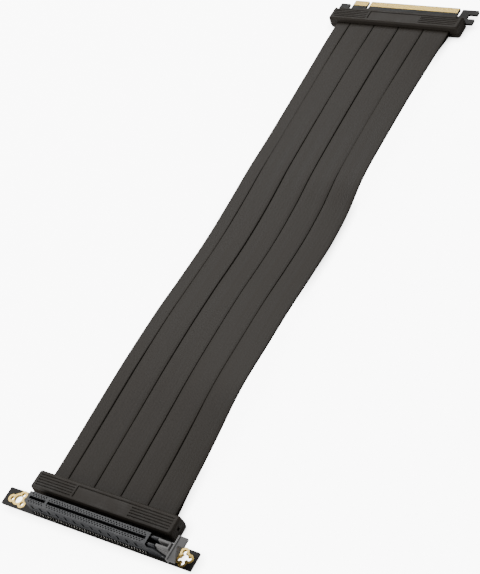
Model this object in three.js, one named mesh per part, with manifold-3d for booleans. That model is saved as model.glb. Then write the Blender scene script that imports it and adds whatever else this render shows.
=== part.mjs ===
// A flexible riser cable for an expansion card: an upright slot at one end, a card edge at the other,
// and a flat ribbon of strips in two layers between them. Millimetres, +Z up.
// The origin is the middle of the underside of the slot end's bottom cover. +Y runs to the card edge.
// Each end is built about its own centre: x = 0 is the middle of the contacts, z = 0 the board's top.

import * as THREE from "three";
import { mergeVertices } from "three/addons/utils/BufferGeometryUtils.js";
import Module from "manifold-3d";

const wasm = await Module();
wasm.setup();

// Card interface: contacts in two groups with a key between them
const contactPitch = 1;
const firstGroup = 11;
const secondGroup = 71;
const keySpan = 3;
const boardThickness = 1.6;
const seatGap = 0.3;
const cutPast = 1;

// Card edge: tongue, fingers and the outline beside it
const tongueOverhang = 1.1;
const keyNotchWidth = 1.9;
const keyNotchDepth = 7.6;
const tongueCorner = 1;
const fingerWidth = 0.66;
const fingerLength = 4.6;
const fingerSetback = 0.5;
const fingerHeight = 0.06;
const hookGap = 2.1;
const hookGapDepth = 8.2;
const hookReach = 14.9;
const hookSetback = 1;
const hookNotchTop = 5.6;
const hookNotchHeight = 4.5;
const hookNotchDepth = 6.4;
const prongBottom = 15.1;
const hookCorner = 0.6;
const tabGap = 2.4;
const tabWidth = 7.7;
const tabSetback = 4;

// Slot housing
const insertionClearance = 0.1;
const mouthWidth = 1.8;
const mouthDepth = 8.4;
const keyRibWidth = 1.7;
const housingEndWall = 1.8;
const housingWidth = 7.5;
const housingHeight = 11.25;
const windowWidth = 0.62;
const windowLength = 0.8;
const windowDepth = 1.6;
const innerWindowRow = 1.65;
const outerWindowRow = 2.7;
const contactThickness = 0.3;
const contactSink = 1;
const recessPitch = 6.4;
const recessCount = 13;
const recessStart = 3;
const recessWidth = 5.2;
const recessSink = 1.2;
const recessBottom = 5.1;
const recessTop = 8.1;
const footSink = 0.6;
const footHeight = 2.4;
const footOverhang = 0.8;
const neckLength = 5;
const neckWidth = 5.4;
const neckDrop = 1;
const neckChannelWidth = 3.1;
const neckChannelDepth = 5.1;
const cheekThickness = 0.8;
const cheekReach = 1.9;
const cheekTop = 8.2;

// Latch: a lever on two pivot pins between the housing's cheeks
const latchGap = 1.3;
const pivotInset = 2.2;
const pivotHeight = 2.5;
const pivotRadius = 0.8;
const pivotClearance = 0.05;
const latchSideGap = 0.3;
const latchLift = 0.5;
const latchHeelLength = 2.6;
const latchLength = 11.2;
const latchRise = 3.1;
const forkHalfWidth = 2.3;
const forkEndWall = 1;
const channelWidth = 2.1;
const channelLength = 7.7;
const channelFloor = 5.2;
const webTop = 8.4;
const ridgeThickness = 1.1;
const ridgeRoot = 1;
const shoulderHalfWidth = 5.3;
const shoulderLength = 3;
const wingHalfWidth = 7.7;
const wingReach = 5.1;
const wingThickness = 1.3;
const wingDrop = 0.5;
const wingNotch = 3.8;
const wingNotchFar = 2.1;
const wingNotchNear = 0.7;

// Slot board: one strip with an ear at each end, and a middle that runs under the covers
const slotSetback = 14.25;
const boardFront = 5.1;
const earBack = 6.4;
const leftEarEnd = 68.5;
const rightEarEnd = 71;
const boardCorner = 0.5;
const holeRim = 1;
const rimHeight = 0.06;
const lobeRadius = 1.4;
const leftHole = {
  x: -58.6,
  y: 0.6,
  radius: 2.7,
  lobes: [[-4.3, -0.7], [1.8, 3.3], [4.1, -2.3]],
};
const rightHole = {
  x: 63.6,
  y: 0.9,
  radius: 2.4,
  lobes: [[-1.5, 3.1], [-2.4, -1.6], [3.3, 0.1], [0.7, -3.2]],
};

// Covers: two tapered shells at each end that close on the board and the ribbon
const coverLength = 104.8;
const coverDepth = 13.2;
const coverCorner = 1.8;
const slotCoverRise = 6;
const edgeCoverRise = 5;
const coverDrop = 5;
const coverEdge = 1.3;
const coverDraft = 0.35;
const coverChamfer = 1;
const coverWall = 1.6;
const coverSeam = 0.3;
const ribGrooves = 5;
const ribPitch = 1.75;
const ribGrooveWidth = 0.7;
const ribGrooveDepth = 0.5;
const ribEndInset = 3.4;
const panelHalfWidth = 20.3;
const panelGap = 2;
const panelLineOut = 0.5;
const prongPassageInset = 3.2;
const prySlotWidth = 2;
const prySlotDepth = 1;
const prySlotBottom = 1.8;
const prySlotTop = 4;
const cornerPocket = [4.2, 2.6, 2.4];

// Ribbon: strips side by side in two layers
const stripWidth = 19.2;
const narrowStripWidth = 10.7;
const stripSpacing = 0.6;
const stripCount = 5;
const stripThickness = 0.9;
const stripEdge = 0.25;
const layerGap = 0.35;
const stripLap = 4;
const freeLength = 402.4;
const tipReach = 12.6;
const stripSteps = 20;
const sidewaysDrift = -12.2;

// The ribbon's lie, chosen by hand: distance from the slot end's covers, part of the sideways drift
// done, and the height of the upper layer's middle above the table at its left, centre and right
const ribbonLie = [
  [0, 0, 5.75, 5.75, 5.75],
  [8, 0.02, 5.8, 5.8, 5.8],
  [26, 0.06, 6, 6.1, 6.4],
  [54, 0.13, 6.6, 6.6, 8.6],
  [88, 0.21, 7.1, 7.7, 11.2],
  [124, 0.3, 6.8, 7.5, 9.4],
  [154, 0.38, 4.6, 6.4, 7.8],
  [184, 0.45, 2.9, 4, 5.4],
  [207, 0.51, 2.3, 3.2, 3.7],
  [232, 0.57, 2.9, 3.9, 4.7],
  [258, 0.64, 4, 5.9, 9],
  [290, 0.72, 4.4, 6.8, 9.2],
  [328, 0.81, 5.3, 7.2, 8.8],
  [368, 0.91, 6.2, 6.9, 7.6],
  [392, 0.98, 5.9, 5.9, 6],
  [402.4, 1, 5.75, 5.75, 5.75],
];
const lieColumns = { distance: 0, drift: 1, left: 2, centre: 3, right: 4 };
const layersMeetAfter = 22;

// Steps and sides of the round shapes
const cornerSteps = 4;
const pinSides = 20;
const holeSides = 16;
const lobeSides = 12;

// Sizes that follow from the ones above
const contactSpan = (firstGroup + secondGroup - 2) * contactPitch + keySpan;
const pinPlaces = Array.from({ length: firstGroup + secondGroup }, (_, pin) => {
  const past = pin < firstGroup ? pin * contactPitch : (pin - 1) * contactPitch + keySpan;
  return past - contactSpan / 2;
});
const keyPlace = pinPlaces[firstGroup - 1] + keySpan / 2;
const tongueHalf = contactSpan / 2 + tongueOverhang;
const mouthHalf = tongueHalf + insertionClearance;
const housingHalf = mouthHalf + housingEndWall;
const coverHalf = coverLength / 2;
const boardHalf = coverHalf - coverWall - seatGap - coverDraft;
const boardBack = slotSetback + coverDepth / 2 - coverWall - seatGap;
const ribbonWidth = narrowStripWidth + (stripCount - 1) * (stripWidth + stripSpacing);
const lapHeight = seatGap + stripThickness / 2;
const slotBoardHeight = coverDrop;
const edgeCoverPlace = coverDepth / 2 + freeLength + coverDepth / 2;
const tipPlace = edgeCoverPlace + coverDepth / 2 + tipReach;
const latchStart = housingHalf + neckLength + latchGap;
const pivotPlace = latchStart + pivotInset;
const cheekInner = housingWidth / 2 - cheekThickness;
const latchCoreHalf = cheekInner - latchSideGap;

// Colours
const looks = {
  board: { color: 0x1b1b1a, roughness: 0.5, metalness: 0.0 },
  housing: { color: 0x2e2f31, roughness: 0.45, metalness: 0.0 },
  latch: { color: 0x6a6a69, roughness: 0.5, metalness: 0.0 },
  cover: { color: 0x3e3c38, roughness: 0.7, metalness: 0.0 },
  ribbon: { color: 0x46423e, roughness: 0.6, metalness: 0.0 },
};

// A closed solid that can be joined and cut, from a three.js geometry
function solid(geometry) {
  const bare = geometry.clone();
  bare.deleteAttribute("normal");
  bare.deleteAttribute("uv");
  const merged = mergeVertices(bare, 1e-4);
  return new wasm.Manifold(
    new wasm.Mesh({
      numProp: 3,
      vertProperties: merged.attributes.position.array,
      triVerts: new Uint32Array(merged.index.array),
    }),
  );
}

function box(x0, x1, y0, y1, z0, z1) {
  const block = new THREE.BoxGeometry(x1 - x0, y1 - y0, z1 - z0);
  block.translate((x0 + x1) / 2, (y0 + y1) / 2, (z0 + z1) / 2);
  return solid(block);
}

// An outline in the XY plane, raised from z0 to z1
function prism(outline, z0, z1, curveSegments = cornerSteps) {
  const raised = new THREE.ExtrudeGeometry(outline, { depth: z1 - z0, bevelEnabled: false, curveSegments });
  raised.translate(0, 0, z0);
  return solid(raised);
}

// A side outline in the XZ plane, drawn out from y0 to y1
function sideways(points, y0, y1) {
  const outline = new THREE.Shape(points.map(([x, z]) => new THREE.Vector2(x, z)));
  const drawn = new THREE.ExtrudeGeometry(outline, { depth: y1 - y0, bevelEnabled: false });
  drawn.rotateX(Math.PI / 2);
  drawn.translate(0, y1, 0);
  return solid(drawn);
}

function upright(x, y, radius, z0, z1, sides = pinSides) {
  const round = new THREE.CylinderGeometry(radius, radius, z1 - z0, sides);
  round.rotateX(Math.PI / 2);
  round.translate(x, y, (z0 + z1) / 2);
  return solid(round);
}

function crossPin(x, z, radius, y0, y1, sides = pinSides) {
  const round = new THREE.CylinderGeometry(radius, radius, y1 - y0, sides);
  round.translate(x, (y0 + y1) / 2, z);
  return solid(round);
}

function joined(solids) {
  return wasm.Manifold.union(solids);
}

// The ends of a stretch that lies on the given side of zero, in rising order
function onSide(side, near, far) {
  return side > 0 ? [near, far] : [-far, -near];
}

// An outline through corner points, each corner rounded by its own radius
function roundedOutline(corners) {
  const outline = new THREE.Shape();
  corners.forEach(([x, y, radius = 0], index) => {
    const before = corners[(index + corners.length - 1) % corners.length];
    const after = corners[(index + 1) % corners.length];
    const corner = new THREE.Vector2(x, y);
    const into = new THREE.Vector2(before[0], before[1]).sub(corner).setLength(radius).add(corner);
    const out = new THREE.Vector2(after[0], after[1]).sub(corner).setLength(radius).add(corner);
    if (index === 0) outline.moveTo(into.x, into.y);
    else outline.lineTo(into.x, into.y);
    if (radius > 0) outline.quadraticCurveTo(x, y, out.x, out.y);
  });
  outline.closePath();
  return outline;
}

function part(name, shape, look) {
  const made = shape.getMesh();
  const geometry = new THREE.BufferGeometry();
  geometry.setAttribute("position", new THREE.BufferAttribute(made.vertProperties, made.numProp));
  geometry.setIndex(new THREE.BufferAttribute(made.triVerts, 1));
  const mesh = new THREE.Mesh(geometry, new THREE.MeshStandardMaterial(look));
  mesh.name = name;
  geometry.computeVertexNormals();
  return mesh;
}

// Slot housing, with z = 0 on the board and y = 0 along the card's mid-plane

// A pocket over a contact, stepped by the contact's bent tip, which stands on the mouth's side
function contactWindow(place, side, row) {
  const wall = row - windowLength / 2;
  const [near, far] = onSide(side, wall, wall + windowLength);
  const [behindTip, outer] = onSide(side, wall + contactThickness, wall + windowLength);
  const left = place - windowWidth / 2;
  const right = place + windowWidth / 2;
  const above = housingHeight + cutPast;
  return joined([
    box(left, right, near, far, housingHeight - contactSink, above),
    box(left, right, behindTip, outer, housingHeight - windowDepth, above),
  ]);
}

function sideRecess(index, side) {
  const left = recessStart - housingHalf + index * recessPitch;
  const wall = housingWidth / 2;
  const [near, far] = onSide(side, wall - recessSink, wall + cutPast);
  return box(left, left + recessWidth, near, far, recessBottom, recessTop);
}

// A shallow strip along the foot, where the contacts' tails come out
function footStrip(side) {
  const reach = contactSpan / 2 + footOverhang;
  const wall = housingWidth / 2;
  const [near, far] = onSide(side, wall - footSink, wall + cutPast);
  return box(-reach, reach, near, far, -cutPast, footHeight);
}

// A thin ear beside the latch, with the hole for its pivot pin
function cheek(side) {
  const reach = pivotPlace + cheekReach;
  const outline = [
    [housingHalf - seatGap, 0],
    [reach, 0],
    [reach, pivotHeight],
    [pivotPlace, pivotHeight + cheekReach],
    [latchStart - latchGap, cheekTop],
    [housingHalf - seatGap, cheekTop],
  ];
  const plate = sideways(outline, ...onSide(side, cheekInner, housingWidth / 2));
  const holeRadius = pivotRadius + pivotClearance;
  return plate.subtract(crossPin(pivotPlace, pivotHeight, holeRadius, -housingWidth, housingWidth));
}

// The neck carries the card's keyway on from the mouth to the latch
function neck() {
  const end = housingHalf + neckLength;
  const top = housingHeight - neckDrop;
  const body = box(housingHalf - seatGap, end, -neckWidth / 2, neckWidth / 2, 0, top);
  const floor = top - neckChannelDepth;
  const half = neckChannelWidth / 2;
  const channel = box(housingHalf, end + cutPast, -half, half, floor, top + cutPast);
  return body.subtract(channel);
}

function slotHousing() {
  const half = housingWidth / 2;
  const block = box(-housingHalf, housingHalf, -half, half, 0, housingHeight);
  const floor = housingHeight - mouthDepth;
  const ribLeft = keyPlace - keyRibWidth / 2;
  const ribRight = keyPlace + keyRibWidth / 2;
  const mouths = [
    box(-mouthHalf, ribLeft, -mouthWidth / 2, mouthWidth / 2, floor, housingHeight + cutPast),
    box(ribRight, mouthHalf, -mouthWidth / 2, mouthWidth / 2, floor, housingHeight + cutPast),
  ];
  const cuts = [...mouths];
  for (const side of [-1, 1]) {
    pinPlaces.forEach((place, pin) => {
      cuts.push(contactWindow(place, side, pin % 2 ? innerWindowRow : outerWindowRow));
    });
    for (let index = 0; index < recessCount; index += 1) cuts.push(sideRecess(index, side));
    cuts.push(footStrip(side));
  }
  const ends = [neck(), cheek(-1), cheek(1)];
  return joined([block.subtract(joined(cuts)), ...ends]);
}

// Latch: a forked lever whose channel lines up with the mouth, with a thumb wing across its top
function slotLatch() {
  const end = latchStart + latchLength;
  const side = [
    [latchStart, latchLift],
    [latchStart + latchHeelLength, latchLift],
    [end, latchLift + latchRise],
    [end, webTop],
    [latchStart, webTop],
  ];
  const core = sideways(side, -latchCoreHalf, latchCoreHalf);
  const shoulderStart = end - shoulderLength;
  const shoulderBottom = latchLift + latchRise;
  const shoulder = box(shoulderStart, end, -shoulderHalfWidth, shoulderHalfWidth, shoulderBottom, webTop);
  const forkEnd = latchStart + channelLength + forkEndWall;
  const fork = box(latchStart, forkEnd, -forkHalfWidth, forkHalfWidth, channelFloor, housingHeight);
  const ridgeStart = end - ridgeThickness;
  const ridgeBottom = webTop - ridgeRoot;
  const ridge = box(ridgeStart, end, -wingHalfWidth, wingHalfWidth, ridgeBottom, housingHeight);
  const wingOutline = roundedOutline([
    [ridgeStart, -wingHalfWidth],
    [end + wingReach, -wingHalfWidth, hookCorner],
    [end + wingReach - wingNotch, wingNotchNear],
    [end + wingReach - wingNotch, wingNotchFar],
    [end + wingReach, wingNotchFar],
    [end + wingReach, wingHalfWidth, hookCorner],
    [ridgeStart, wingHalfWidth],
  ]);
  const wingTop = housingHeight - wingDrop;
  const wing = prism(wingOutline, wingTop - wingThickness, wingTop);
  const pinReach = housingWidth / 2;
  const pins = crossPin(pivotPlace, pivotHeight, pivotRadius, -pinReach, pinReach);
  const body = joined([core, shoulder, fork, ridge, wing, pins]);
  const from = latchStart - cutPast;
  const to = latchStart + channelLength;
  const half = channelWidth / 2;
  return body.subtract(box(from, to, -half, half, channelFloor, housingHeight + cutPast));
}

// Slot board, with y = 0 under the slot

function lobedHole(hole, grow, z0, z1) {
  const middle = upright(hole.x, hole.y, hole.radius + grow, z0, z1, holeSides);
  const lobes = hole.lobes.map(([x, y]) => {
    return upright(hole.x + x, hole.y + y, lobeRadius + grow, z0, z1, lobeSides);
  });
  return joined([middle, ...lobes]);
}

function slotBoard() {
  const outline = roundedOutline([
    [-leftEarEnd, -boardFront, boardCorner],
    [rightEarEnd, -boardFront, boardCorner],
    [rightEarEnd, earBack, boardCorner],
    [boardHalf, earBack],
    [boardHalf, boardBack],
    [-boardHalf, boardBack],
    [-boardHalf, earBack],
    [-leftEarEnd, earBack, boardCorner],
  ]);
  let board = prism(outline, -boardThickness, 0);
  const overBoard = prism(outline, -boardThickness - cutPast, cutPast);
  for (const hole of [leftHole, rightHole]) {
    const rim = lobedHole(hole, holeRim, -boardThickness - rimHeight, rimHeight);
    board = board.add(rim.intersect(overBoard));
    board = board.subtract(lobedHole(hole, 0, -boardThickness - cutPast, cutPast));
  }
  return board;
}

// Edge board, with y = 0 at the tongue's tip

function edgeBoard() {
  const back = -(tipReach + coverDepth - coverWall - seatGap);
  const shoulder = -tipReach;
  const notchLeft = keyPlace - keyNotchWidth / 2;
  const notchRight = keyPlace + keyNotchWidth / 2;
  const hookStart = tongueHalf + hookGap;
  const hookEnd = tongueHalf + hookReach;
  const hookInner = hookEnd - hookNotchDepth;
  const notchBottom = hookNotchTop + hookNotchHeight;
  const tabEnd = tongueHalf + tabGap;
  const outline = roundedOutline([
    [-boardHalf, back],
    [boardHalf, back],
    [boardHalf, -prongBottom],
    [hookEnd, -prongBottom, hookCorner],
    [hookEnd, -notchBottom, hookCorner],
    [hookInner, -notchBottom, hookCorner],
    [hookInner, -hookNotchTop, hookCorner],
    [hookEnd, -hookNotchTop, hookCorner],
    [hookEnd, -hookSetback, hookCorner * 2],
    [hookStart, -hookSetback, hookCorner],
    [hookStart, -hookGapDepth, hookGap / 2],
    [tongueHalf, -hookGapDepth, hookGap / 2],
    [tongueHalf, 0, tongueCorner],
    [notchRight, 0, tongueCorner / 2],
    [notchRight, -keyNotchDepth, keyNotchWidth / 2],
    [notchLeft, -keyNotchDepth, keyNotchWidth / 2],
    [notchLeft, 0, tongueCorner / 2],
    [-tongueHalf, 0, tongueCorner],
    [-tongueHalf, shoulder + cutPast],
    [-tabEnd, shoulder + cutPast],
    [-tabEnd, -tabSetback, hookCorner],
    [-tabEnd - tabWidth, -tabSetback, hookCorner],
    [-tabEnd - tabWidth, shoulder - cutPast],
    [-boardHalf, shoulder - cutPast],
  ]);
  const fingers = [];
  for (const place of pinPlaces) {
    const left = place - fingerWidth / 2;
    const right = place + fingerWidth / 2;
    const near = -fingerSetback - fingerLength;
    const middle = -boardThickness / 2;
    const under = -boardThickness - fingerHeight;
    fingers.push(box(left, right, near, -fingerSetback, middle, fingerHeight));
    fingers.push(box(left, right, near, -fingerSetback, under, middle));
  }
  return joined([prism(outline, -boardThickness, 0), ...fingers]);
}

// Covers, about the middle of their own outline, from the seam up

// A rounded block whose sides lean in by a small draft and end in a chamfer
function coverBlock(rise) {
  const half = coverDepth / 2;
  const outline = roundedOutline([
    [-coverHalf, -half, coverCorner],
    [coverHalf, -half, coverCorner],
    [coverHalf, half, coverCorner],
    [-coverHalf, half, coverCorner],
  ]);
  const levels = [
    [0, 0],
    [rise - coverChamfer, coverDraft],
    [rise, coverEdge],
  ];
  const block = new THREE.ExtrudeGeometry(outline, {
    depth: levels.length - 1,
    steps: levels.length - 1,
    bevelEnabled: false,
    curveSegments: cornerSteps,
  });
  const corners = block.attributes.position;
  for (let index = 0; index < corners.count; index += 1) {
    const [height, inset] = levels[Math.round(corners.getZ(index))];
    const x = corners.getX(index);
    const y = corners.getY(index);
    corners.setXYZ(index, x - Math.sign(x) * inset, y - Math.sign(y) * inset, height);
  }
  return solid(block);
}

// Long finger grooves on both sides of a bare middle panel, which two narrow lines mark off
function coverGrooves(rise) {
  const cuts = [];
  const floor = rise - ribGrooveDepth;
  const end = coverHalf - ribEndInset;
  for (let index = 0; index < ribGrooves; index += 1) {
    const middle = (index - (ribGrooves - 1) / 2) * ribPitch;
    const near = middle - ribGrooveWidth / 2;
    const far = middle + ribGrooveWidth / 2;
    cuts.push(box(-end, -panelHalfWidth - panelGap, near, far, floor, rise + cutPast));
    cuts.push(box(panelHalfWidth, end, near, far, floor, rise + cutPast));
  }
  const far = ((ribGrooves - 1) / 2) * ribPitch + ribGrooveWidth / 2;
  const near = far - ribGrooveWidth;
  const left = -panelHalfWidth - panelLineOut;
  cuts.push(box(left, panelHalfWidth, near, far, floor, rise + cutPast));
  cuts.push(box(left, left + ribGrooveWidth, -far, far, floor, rise + cutPast));
  return joined(cuts);
}

// The shell's inside: a pocket open to the board's side, room above it and a mouth for the ribbon
function coverHollow(rise, boardPocket, ribbonHeight, boardSide) {
  const half = coverDepth / 2;
  const inner = half - coverWall;
  const boardReach = boardHalf + seatGap;
  const ribbonReach = ribbonWidth / 2 + seatGap;
  const [boardNear, boardFar] = onSide(boardSide, -inner, half + cutPast);
  const [ribbonNear, ribbonFar] = onSide(boardSide, -half - cutPast, 0);
  return joined([
    box(-boardReach, boardReach, boardNear, boardFar, -cutPast, boardPocket),
    box(-ribbonReach, ribbonReach, -inner, inner, -cutPast, rise - coverWall),
    box(-ribbonReach, ribbonReach, ribbonNear, ribbonFar, -cutPast, ribbonHeight),
  ]);
}

// Openings in the sides where the edge board's outline reaches past the covers
function sidePassages(pocket) {
  const prongLeft = coverHalf - prongPassageInset;
  const half = coverDepth / 2;
  const tabEnd = tongueHalf + tabGap + tabWidth + seatGap;
  const prongDepth = prongBottom - tipReach + seatGap;
  return joined([
    box(prongLeft, coverHalf + cutPast, half - prongDepth, half + cutPast, -cutPast, pocket),
    box(-tabEnd, -prongLeft, half - cutPast - seatGap, half + cutPast, -cutPast, pocket),
  ]);
}

// Pockets at the two outer corners on the board side
function cornerPockets(rise) {
  const [length, depth, sink] = cornerPocket;
  const half = coverDepth / 2;
  const inner = coverHalf - coverEdge - length - seatGap;
  const cuts = [-1, 1].map((side) => {
    const [left, right] = onSide(side, inner, inner + length);
    return box(left, right, half - depth, half + cutPast, rise - sink, rise + cutPast);
  });
  return joined(cuts);
}

// A small slot in each end face, to pry the shells apart
function prySlots() {
  const cuts = [-1, 1].map((side) => {
    const [left, right] = onSide(side, coverHalf - prySlotDepth, coverHalf + cutPast);
    return box(left, right, -prySlotWidth / 2, prySlotWidth / 2, prySlotBottom, prySlotTop);
  });
  return joined(cuts);
}

function cover(rise, lift, isEdge) {
  const boardPocket = boardThickness / 2 + seatGap - lift;
  const ribbonHeight = boardThickness / 2 + 2 * seatGap + stripThickness - lift;
  const hollow = coverHollow(rise, boardPocket, ribbonHeight, isEdge ? 1 : -1);
  const shell = coverBlock(rise).subtract(hollow);
  return isEdge ? shell.subtract(sidePassages(boardPocket)) : shell;
}

function topCover(rise, isEdge) {
  const lift = coverSeam / 2;
  const height = rise + boardThickness / 2 - lift;
  let shell = cover(height, lift, isEdge).subtract(coverGrooves(height));
  shell = isEdge ? shell.subtract(cornerPockets(height)) : shell.subtract(prySlots());
  return shell.translate([0, 0, lift - boardThickness / 2]);
}

function bottomCover(isEdge) {
  const lift = coverSeam / 2;
  const height = coverDrop - boardThickness / 2 - lift;
  const shell = cover(height, lift, isEdge);
  return shell.mirror([0, 0, 1]).translate([0, 0, -lift - boardThickness / 2]);
}

// Ribbon

// A column of the lie at a distance along the ribbon, on a smooth curve through its stations
function lieAt(distance, column) {
  const last = ribbonLie.length - 1;
  const at = lieColumns.distance;
  let index = 0;
  while (index < last - 1 && distance > ribbonLie[index + 1][at]) index += 1;
  const from = ribbonLie[index];
  const to = ribbonLie[index + 1];
  const before = ribbonLie[Math.max(index - 1, 0)];
  const after = ribbonLie[Math.min(index + 2, last)];
  const span = to[at] - from[at];
  const way = THREE.MathUtils.clamp((distance - from[at]) / span, 0, 1);
  const slopeFrom = ((to[column] - before[column]) / (to[at] - before[at])) * span;
  const slopeTo = ((after[column] - from[column]) / (after[at] - from[at])) * span;
  const square = way * way;
  const cube = square * way;
  return (
    (2 * cube - 3 * square + 1) * from[column] +
    (cube - 2 * square + way) * slopeFrom +
    (3 * square - 2 * cube) * to[column] +
    (cube - square) * slopeTo
  );
}

// Height of the upper layer's middle at a distance and a place across the ribbon
function ribbonHeightAt(distance, across) {
  const share = across / (ribbonWidth / 2);
  const centre = lieAt(distance, lieColumns.centre);
  const side = lieAt(distance, share < 0 ? lieColumns.left : lieColumns.right);
  return centre + Math.abs(share) * (side - centre);
}

// How far the lower layer lies under the upper one: apart on the boards, close together between them
function layerSpacingAt(distance) {
  const onBoards = boardThickness + 2 * lapHeight;
  const together = stripThickness + layerGap;
  const fromEnd = Math.min(distance, freeLength - distance);
  return onBoards + (together - onBoards) * THREE.MathUtils.smoothstep(fromEnd, 0, layersMeetAfter);
}

// Where the strips' sections stand: one over each board, the rest evenly along the free ribbon
function stripStop(step) {
  const lap = coverWall + seatGap + stripLap;
  if (step === 0) return -lap;
  if (step === stripSteps) return freeLength + lap;
  return ((step - 1) / (stripSteps - 2)) * freeLength;
}

// A flat strip with blunted edges, drawn straight and then laid along the ribbon's lie
function strip(left, width, isLower) {
  const half = stripThickness / 2;
  const section = new THREE.Shape();
  section.moveTo(stripEdge, -half);
  section.lineTo(width - stripEdge, -half);
  section.lineTo(width, -half + stripEdge);
  section.lineTo(width, half - stripEdge);
  section.lineTo(width - stripEdge, half);
  section.lineTo(stripEdge, half);
  section.lineTo(0, half - stripEdge);
  section.lineTo(0, -half + stripEdge);
  section.closePath();
  const straight = { depth: stripSteps, steps: stripSteps, bevelEnabled: false };
  const drawn = new THREE.ExtrudeGeometry(section, straight);
  const corners = drawn.attributes.position;
  for (let index = 0; index < corners.count; index += 1) {
    const distance = stripStop(Math.round(corners.getZ(index)));
    const across = left + corners.getX(index);
    const drop = isLower ? layerSpacingAt(distance) : 0;
    const height = ribbonHeightAt(distance, across) - drop - corners.getY(index);
    const place = across + sidewaysDrift * lieAt(distance, lieColumns.drift);
    corners.setXYZ(index, place, coverDepth / 2 + distance, height);
  }
  return solid(drawn);
}

// Assembly
const riser = new THREE.Group();

const slotEnd = new THREE.Group();
slotEnd.position.set(0, -slotSetback, slotBoardHeight);
slotEnd.add(part("slot_housing", slotHousing(), looks.housing));
slotEnd.add(part("slot_latch", slotLatch(), looks.latch));
slotEnd.add(part("slot_board", slotBoard(), looks.board));
riser.add(slotEnd);

const slotCovers = new THREE.Group();
slotCovers.position.set(0, 0, slotBoardHeight);
slotCovers.add(part("slot_cover_top", topCover(slotCoverRise, false), looks.cover));
slotCovers.add(part("slot_cover_bottom", bottomCover(false), looks.cover));
riser.add(slotCovers);

const edgeCovers = new THREE.Group();
edgeCovers.position.set(sidewaysDrift, edgeCoverPlace, slotBoardHeight);
edgeCovers.add(part("edge_cover_top", topCover(edgeCoverRise, true), looks.cover));
edgeCovers.add(part("edge_cover_bottom", bottomCover(true), looks.cover));
riser.add(edgeCovers);

const edgeEnd = new THREE.Group();
edgeEnd.position.set(sidewaysDrift, tipPlace, slotBoardHeight);
edgeEnd.add(part("edge_board", edgeBoard(), looks.board));
riser.add(edgeEnd);

for (const layer of ["upper", "lower"]) {
  let left = -ribbonWidth / 2;
  for (let index = 0; index < stripCount; index += 1) {
    const width = index === 0 ? narrowStripWidth : stripWidth;
    riser.add(part(`ribbon_${layer}_${index + 1}`, strip(left, width, layer === "lower"), looks.ribbon));
    left += width + stripSpacing;
  }
}

export default riser;
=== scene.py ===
import math

import bmesh
import bpy
from mathutils import Matrix, Vector


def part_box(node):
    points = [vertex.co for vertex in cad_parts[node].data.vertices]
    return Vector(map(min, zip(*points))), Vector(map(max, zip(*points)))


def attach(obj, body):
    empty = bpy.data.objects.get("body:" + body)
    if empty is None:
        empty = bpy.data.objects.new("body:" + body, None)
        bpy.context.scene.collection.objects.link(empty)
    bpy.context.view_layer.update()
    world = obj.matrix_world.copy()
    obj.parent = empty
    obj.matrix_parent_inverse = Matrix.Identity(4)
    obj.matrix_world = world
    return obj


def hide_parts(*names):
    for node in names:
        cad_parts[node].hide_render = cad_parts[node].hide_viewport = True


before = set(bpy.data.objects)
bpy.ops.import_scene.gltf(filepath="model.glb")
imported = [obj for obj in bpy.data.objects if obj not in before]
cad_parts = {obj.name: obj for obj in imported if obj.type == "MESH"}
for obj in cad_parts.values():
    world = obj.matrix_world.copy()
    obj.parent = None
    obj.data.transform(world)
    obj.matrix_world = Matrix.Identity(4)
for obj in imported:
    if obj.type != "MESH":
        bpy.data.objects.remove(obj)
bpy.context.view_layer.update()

MM = 0.001

# The camera, where the photograph was taken from: its place, its right hand and its downward side
CAMERA_PLACE = Vector((0.47543, -0.23956, 0.61321))
CAMERA_RIGHT = Vector((0.81744, 0.47356, -0.32791))
CAMERA_DOWN = Vector((0.17752, -0.74870, -0.63870))
CAMERA_LENS = 87.62
SENSOR_LONG_SIDE = 36

# The floor is a little brighter to the camera, so that it stays pale as in the photograph
FLOOR_GLOW = 9

# The ribbon's sizes and lie, in metres, as in the part's source
STRIP_WIDTH = 0.0192
NARROW_STRIP_WIDTH = 0.0107
STRIP_SPACING = 0.0006
STRIP_COUNT = 5
STRIP_THICKNESS = 0.0009
LAYER_GAP = 0.00035
SEAT_GAP = 0.0003
BOARD_THICKNESS = 0.0016
COVER_DEPTH = 0.0132
FREE_LENGTH = 0.4024
STRIP_LAP = 0.0059
SIDEWAYS_DRIFT = -0.0122
LAYERS_MEET_AFTER = 0.022
# The soft sleeve swells a little over each side of a strip, and the lower layer lies a little aside
SLEEVE_SWELL = 0.0001
LAYER_SHIFT = -0.00045
# Stations: distance, share of the sideways drift, then the height at the left, middle and right
RIBBON_LIE = [
    (0, 0, 0.00575, 0.00575, 0.00575),
    (0.008, 0.02, 0.0058, 0.0058, 0.0058),
    (0.026, 0.06, 0.006, 0.0061, 0.0064),
    (0.054, 0.13, 0.0066, 0.0066, 0.0086),
    (0.088, 0.21, 0.0071, 0.0077, 0.0112),
    (0.124, 0.3, 0.0068, 0.0075, 0.0094),
    (0.154, 0.38, 0.0046, 0.0064, 0.0078),
    (0.184, 0.45, 0.0029, 0.004, 0.0054),
    (0.207, 0.51, 0.0023, 0.0032, 0.0037),
    (0.232, 0.57, 0.0029, 0.0039, 0.0047),
    (0.258, 0.64, 0.004, 0.0059, 0.009),
    (0.29, 0.72, 0.0044, 0.0068, 0.0092),
    (0.328, 0.81, 0.0053, 0.0072, 0.0088),
    (0.368, 0.91, 0.0062, 0.0069, 0.0076),
    (0.392, 0.98, 0.0059, 0.0059, 0.006),
    (0.4024, 1, 0.00575, 0.00575, 0.00575),
]
DRIFT_COLUMN, LEFT_COLUMN, MIDDLE_COLUMN, RIGHT_COLUMN = 1, 2, 3, 4
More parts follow.
